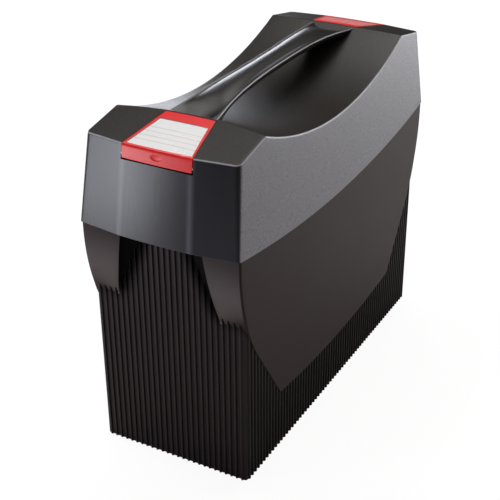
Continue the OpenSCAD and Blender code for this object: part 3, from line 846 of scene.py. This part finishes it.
def box_material():
    """Plastic of the ribbed box, with painted shade darkening it in the finger pockets beside the roots of the
    grips.
    """
    m, tree, shader = grained("box_plastic", (0.0095, 0.0060, 0.0066), (0.015, 0.0100, 0.0106), 0.42, 1600, 0.2,
                              Specular_Tint=(1, 0.84, 0.86, 1))
    _, y, z = split(tree, node(tree, "ShaderNodeTexCoord").outputs["Object"])
    # |y| + ROOT_SLOPE * z is constant along the slanting root of a grip
    reach = maths(tree, "MULTIPLY_ADD", z, ROOT_SLOPE, maths(tree, "ABSOLUTE", y))
    near = ramp(tree, reach, [(0.111, 0), (0.120, 1)])
    high = ramp(tree, z, [(0.147, 0), (0.160, 1)])
    painted_pocket_shade = maths(tree, "MULTIPLY", near, high)
    # Shade is painted near black on the ribs in the pockets, and their shine is lowered.
    overlaid(tree, shader, painted_pocket_shade, (0.0015, 0.001, 0.001, 1))
    feed(tree, shader.inputs["Specular IOR Level"], ramp(tree, painted_pocket_shade, [(0.0, 0.22), (1.0, 0.03)]))
    return m


def lid_material():
    """The lid's plastic: grained sides, a coarser top and smooth satin end faces, with light and shade painted in by
    the way a face looks: the sides lighter, the top and ends darker, and painted highlights along the rounded edges
    and the creases of the ends.
    """
    m, tree, shader = material("lid_plastic", (0.12, 0.11, 0.125), 0.4)
    coords = node(tree, "ShaderNodeTexCoord").outputs
    _, y, z = split(tree, coords["Object"])
    facing_x, _, facing_z = split(tree, coords["Normal"])
    is_end = ramp(tree, maths(tree, "ABSOLUTE", facing_x), [(0.25, 0), (0.6, 1)])
    is_top = ramp(tree, facing_z, [(0.55, 0), (0.8, 1)])
    # The rounded edges of the top, where faces turn from up to sideways, get a pale painted highlight.
    painted_edge_highlight = ramp(tree, facing_z, [(0.25, 0), (0.45, 1), (0.7, 1), (0.85, 0)])
    # |y| + CREASE_SLOPE * z is constant along the crease beside the middle panel of an end
    crease = maths(tree, "MULTIPLY_ADD", z, CREASE_SLOPE, maths(tree, "ABSOLUTE", y))
    # A pale line is painted along each crease as a highlight.
    painted_crease_highlight = ramp(tree, crease, [(0.0385, 0), (0.0391, 0.5), (0.0393, 0.5), (0.0399, 0)])
    fine = noise(tree, coords["Object"], Scale=1500.0, Detail=2.0, Roughness=0.6)
    mottle = noise(tree, coords["Object"], Scale=750.0, Detail=1.0)
    slow = noise(tree, stretched(tree, coords["Object"], (60, 60, 6)), Scale=1.0, Detail=0.0)

    def by_place(side, end, upper, kind="FLOAT"):
        return mixed(tree, is_top, mixed(tree, is_end, side, end, kind), upper, kind)

    # The colours of side, end and top are painted light and shade: the sides lighter, the top and ends darker, as
    # light falls on them.
    side, upper = (ramp(tree, mottle, [(0.3, pair[0]), (0.7, pair[1])]) for pair in (LID_SIDE, LID_TOP))
    end = mixed(tree, painted_crease_highlight, ramp(tree, slow, [(0.1, LID_END[0]), (0.9, LID_END[1])]), (0.16, 0.16, 0.19, 1))
    colour = mixed(tree, painted_edge_highlight, by_place(side, end, upper, "RGBA"), LID_EDGE_HIGHLIGHT)
    worn = ramp(tree, slow, [(0.0, 0.265), (1.0, 0.295)])
    feed(tree, shader.inputs["Base Color"], colour)
    feed(tree, shader.inputs["Roughness"], by_place(0.42, worn, 0.38))
    feed(tree, shader.inputs["Specular IOR Level"], by_place(0.5, 0.29, 0.24))
    bumped(tree, shader, fine, by_place(0.45, 0.04, 0.45))
    return m


def metal(name, colour, rough):
    """Drawn steel: fine lines along its length and soft shifts of shine."""
    m, tree, shader = material(name, colour, rough, Metallic=1.0)
    place = node(tree, "ShaderNodeTexCoord").outputs["Object"]
    lines = noise(tree, stretched(tree, place, (3000, 60, 3000)), Scale=1.0, Detail=2.0)
    dark = tuple(c * 0.85 for c in colour)
    feed(tree, shader.inputs["Base Color"], ramp(tree, lines, [(0.3, dark), (0.7, colour)]))
    feed(tree, shader.inputs["Roughness"], ramp(tree, lines, [(0.3, rough - 0.07), (0.7, rough + 0.07)]))
    return m


def card_material(name, shades, rule):
    """Card with thin rules across it."""
    m, tree, shader = material(name, shades[0], 0.5)
    place = node(tree, "ShaderNodeTexCoord").outputs["Object"]
    far_out = maths(tree, "ABSOLUTE", split(tree, place)[0])
    step = maths(tree, "MULTIPLY_ADD", far_out, 1 / RULE_PITCH, RULE_START)
    line = ramp(tree, maths(tree, "FRACT", step), [(0.0, 0), (0.02, 1), (0.07, 1), (0.09, 0)])
    ruled = ramp(tree, far_out, [(0.1485, 0), (0.149, 1), (0.1745, 1), (0.175, 0)])
    sheet = ramp(tree, noise(tree, place, Scale=900.0, Detail=3.0), [(0.3, shades[0]), (0.7, shades[1])])
    feed(tree, shader.inputs["Base Color"], mixed(tree, maths(tree, "MULTIPLY", line, ruled), sheet, rule))
    return m


def cover_material():
    """Clear sheet with a slightly uneven shine."""
    m, tree, shader = material("label_cover", (0.95, 0.97, 1.0), 0.1, Alpha=0.12, IOR=1.45)
    place = node(tree, "ShaderNodeTexCoord").outputs["Object"]
    slow = noise(tree, place, Scale=40.0, Detail=2.0)
    feed(tree, shader.inputs["Roughness"], ramp(tree, slow, [(0.3, 0.08), (0.7, 0.14)]))
    return m


# The lid's colours, as a dark and a light one for each place, with light and shade painted in (pale sides, dark top
# and ends, as light falls on them), and the colour of the painted highlight along its edges
LID_SIDE = ((0.112, 0.104, 0.120), (0.198, 0.189, 0.212))
LID_TOP = ((0.0095, 0.0075, 0.0065), (0.0255, 0.021, 0.018))
LID_END = ((0.013, 0.0115, 0.016), (0.019, 0.017, 0.023))
LID_EDGE_HIGHLIGHT = (0.42, 0.42, 0.45, 1)
BOX = box_material()
PANEL = panel_material()
LID = lid_material()
HANDLE = handle_material()
RED = grained("latch_plastic", (0.80, 0.016, 0.018), (0.88, 0.024, 0.026), 0.34, 1300, 0.12,
              Specular_IOR_Level=0.32)[0]
STEEL = metal("drawn_steel", (0.62, 0.63, 0.65), 0.32)
ZINC = metal("zinc_steel", (0.55, 0.56, 0.58), 0.36)
CARD = {"front": card_material("label_card", ((0.91, 0.91, 0.92), (0.96, 0.96, 0.97)), (0.40, 0.40, 0.43, 1)),
        "rear": card_material("label_card_red", ((0.66, 0.055, 0.05), (0.74, 0.075, 0.07)), (0.84, 0.36, 0.34, 1))}
COVER = cover_material()

# ---------------------------------------------------------------- building the pieces

# Lid: the walls of the latch recesses are added, then the recesses and the slots for the hooks are cut
lid = lid_skin()
for s in (-1, 1):
    bay_wall = wedge("bay_wall", [(128.6, 303.0), (128.6, 296.6), (173.8, 289.9), (173.8, 281.2), (182.0, 281.2),
                                  (180.6, 294.6), (133.0, 302.4)], 2.7)
    trough = arc(PIN_X, PIN_Z, TROUGH_R, 180, 305, 11)
    recess = wedge("recess", [(130.8, 312), (130.8, 300.2), (PIN_X - TROUGH_R, 292.3)] + trough
                   + [(205, trough[-1][1]), (205, 312)], 0.5)
    slot = block("slot", (-177.4, -13, 284.0), (-166.4, 13, 303))
    for other, operation in ((bay_wall, "UNION"), (recess, "DIFFERENCE"), (slot, "DIFFERENCE")):
        if s == 1:
            source = other
            other = mirrored(source, "x")
            bpy.data.objects.remove(source)
        boolean(lid, other, operation)
shade(lid, 30)
finish_piece(lid, LID, "lid", "lid_shell")

handle = handle_shape()
shade(handle, 50)
finish_piece(handle, HANDLE, "lid", "handle")

# Latches and labels, made at the -x end and mirrored to the other
latch = latch_shape()
card = bevelled(label_sheet("card", 0.85, 1.22, 0.15), 0.05, 1, 50)
cover = bevelled(label_sheet("cover", 0.05, 0.75, 0.1), 0.12, 2, 50)
for end, body, card_slot in (("front", "front_latch", "label_card"), ("rear", "rear_latch", "label_card_red")):
    for source, title, look, slot_name, cad in (
            (latch, "latch_plate", RED, "latch_plastic", "latch_"),
            (card, "label_card_sheet", CARD[end], card_slot, "label_card_"),
            (cover, "label_clear_sheet", COVER, "label_cover", "label_cover_")):
        if end == "front":
            o = bpy.data.objects.new(title, source.data.copy())
            bpy.context.scene.collection.objects.link(o)
        else:
            o = mirrored(source, "x")
        o.name = f"{title}_{end}"
        shade(o, 32)
        finish_piece(o, look, body, cad + end)
for o in (latch, card, cover):
    bpy.data.objects.remove(o)
for end, x in (("front", -PIN_X), ("rear", PIN_X)):
    pin = bevelled(prism("pin", arc(x, PIN_Z, PIN_R, 0, 360, 32)[:-1], "y", -PIN_Y, PIN_Y), 0.25, 2, 40)
    pin.name = f"hinge_bar_{end}"
    shade(pin, 40)
    finish_piece(pin, STEEL, "lid", f"hinge_pin_{end}")

# Box
shell = box_shell()
shade(shell, 40)
right_panel = side_panel("side_panel_right")
shade(right_panel, 30)
left_panel = mirrored(right_panel, "y")
left_panel.name = "side_panel_left"
shade(left_panel, 30)
front_tab = end_tab()
rear_tab = mirrored(front_tab, "x")
front_tab.name, rear_tab.name = "end_tab_front", "end_tab_rear"
for o in (front_tab, rear_tab):
    shade(o, 32)
for o, look in ((shell, BOX), (right_panel, PANEL), (left_panel, PANEL), (front_tab, BOX), (rear_tab, BOX)):
    finish_piece(o, look, "box", "box_body")

# CAD nodes that stay as they are
for name, look in (("file_rail_front", STEEL), ("file_rail_rear", STEEL), ("handle_screws", ZINC)):
    dress(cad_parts[name], look)

# ---------------------------------------------------------------- floor, light and camera

bpy.ops.mesh.primitive_circle_add(vertices=96, radius=12, fill_type="NGON")
floor = bpy.context.object
floor.name = "floor"
m, tree, shader = material("floor", (0.86, 0.86, 0.86), 0.8)
shader.inputs["Specular IOR Level"].default_value = 0.1
# The camera sees the floor as a pale glow, with a share of its lit face for the shadow
path = node(tree, "ShaderNodeLightPath").outputs
glow = node(tree, "ShaderNodeEmission", Strength=1.08)
mix = node(tree, "ShaderNodeMixShader")
feed(tree, mix.inputs[0], maths(tree, "MULTIPLY", path["Is Camera Ray"], 0.85))
feed(tree, mix.inputs[1], shader.outputs[0])
feed(tree, mix.inputs[2], glow.outputs[0])
feed(tree, tree.nodes["Material Output"].inputs[0], mix.outputs[0])
floor.data.materials.append(m)

# A dim world, white only where it is seen directly or through the clear sheets
world = bpy.data.worlds.new("studio")
bpy.context.scene.world = world
world.use_nodes = True
tree = world.node_tree
background = tree.nodes["Background"]
background.inputs[0].default_value = (1, 1, 1, 1)
path = node(tree, "ShaderNodeLightPath").outputs
level = node(tree, "ShaderNodeMapRange")
feed(tree, level.inputs[0], maths(tree, "MAXIMUM", path["Is Camera Ray"], path["Is Transmission Ray"]))
level.inputs[3].default_value = 0.02
level.inputs[4].default_value = 1.0
feed(tree, background.inputs[1], level.outputs[0])


def lamp(name, place, target, size, power, colour):
    data = bpy.data.lights.new(name, "AREA")
    data.shape = "RECTANGLE"
    data.size, data.size_y = size
    data.energy = power
    data.color = colour
    o = bpy.data.objects.new(name, data)
    bpy.context.scene.collection.objects.link(o)
    o.location = place
    o.rotation_mode = "QUATERNION"
    o.rotation_quaternion = (Vector(target) - Vector(place)).to_track_quat("-Z", "Y")


COOL, CLEAR, WARM = (0.90, 0.92, 1.0), (0.95, 0.96, 1.0), (1.0, 0.98, 0.95)
MIDDLE = (0, 0, 0.18)
lamp("left", (-0.72, 0.50, 0.175), (-0.18, 0.0, 0.24), (0.30, 0.23), 2.8, COOL)
lamp("right", (1.382, -0.798, 0.26), MIDDLE, (0.6, 0.5), 10.8, CLEAR)
lamp("behind_left", (1.517, 1.273, 0.428), MIDDLE, (0.7, 0.5), 8.0, COOL)
lamp("high_back", (1.033, 0.0, 2.093), MIDDLE, (1.0, 1.0), 19.0, WARM)
lamp("high_left", (0.516, 0.894, 2.093), MIDDLE, (1.0, 1.0), 8.5, WARM)
lamp("high_front", (-0.516, -0.894, 2.093), MIDDLE, (1.0, 1.0), 6.0, WARM)
lamp("dish", (-0.14, 0.84, 2.0), (0.05, 0, 0.28), (0.4, 0.4), 12.0, WARM)

camera_data = bpy.data.cameras.new("camera")
camera = bpy.data.objects.new("camera", camera_data)
bpy.context.scene.collection.objects.link(camera)
bpy.context.scene.camera = camera
# Focal length in pixels of a 500 pixel frame, place in metres and angles in radians, fitted to the box's corners
FOCAL, PLACE = 1143.336, Vector((-0.836809, -0.44472, 0.646666))
HEADING, PITCH_DOWN, ROLL = 0.5076, 0.5053, -0.00739
camera_data.sensor_width = 36
camera_data.lens = 36 * FOCAL / 500
camera_data.clip_end = 60
along = Vector((math.cos(HEADING), math.sin(HEADING), 0))
level_right = Vector((math.sin(HEADING), -math.cos(HEADING), 0))
up = Vector((0, 0, 1))
look = along * math.cos(PITCH_DOWN) - up * math.sin(PITCH_DOWN)
level_up = along * math.sin(PITCH_DOWN) + up * math.cos(PITCH_DOWN)
right = level_right * math.cos(ROLL) + level_up * math.sin(ROLL)
upward = -level_right * math.sin(ROLL) + level_up * math.cos(ROLL)
rows = [(right[k], upward[k], -look[k], PLACE[k]) for k in range(3)]
camera.matrix_world = Matrix(rows + [(0, 0, 0, 1)])
bpy.context.scene.view_settings.view_transform = "Standard"
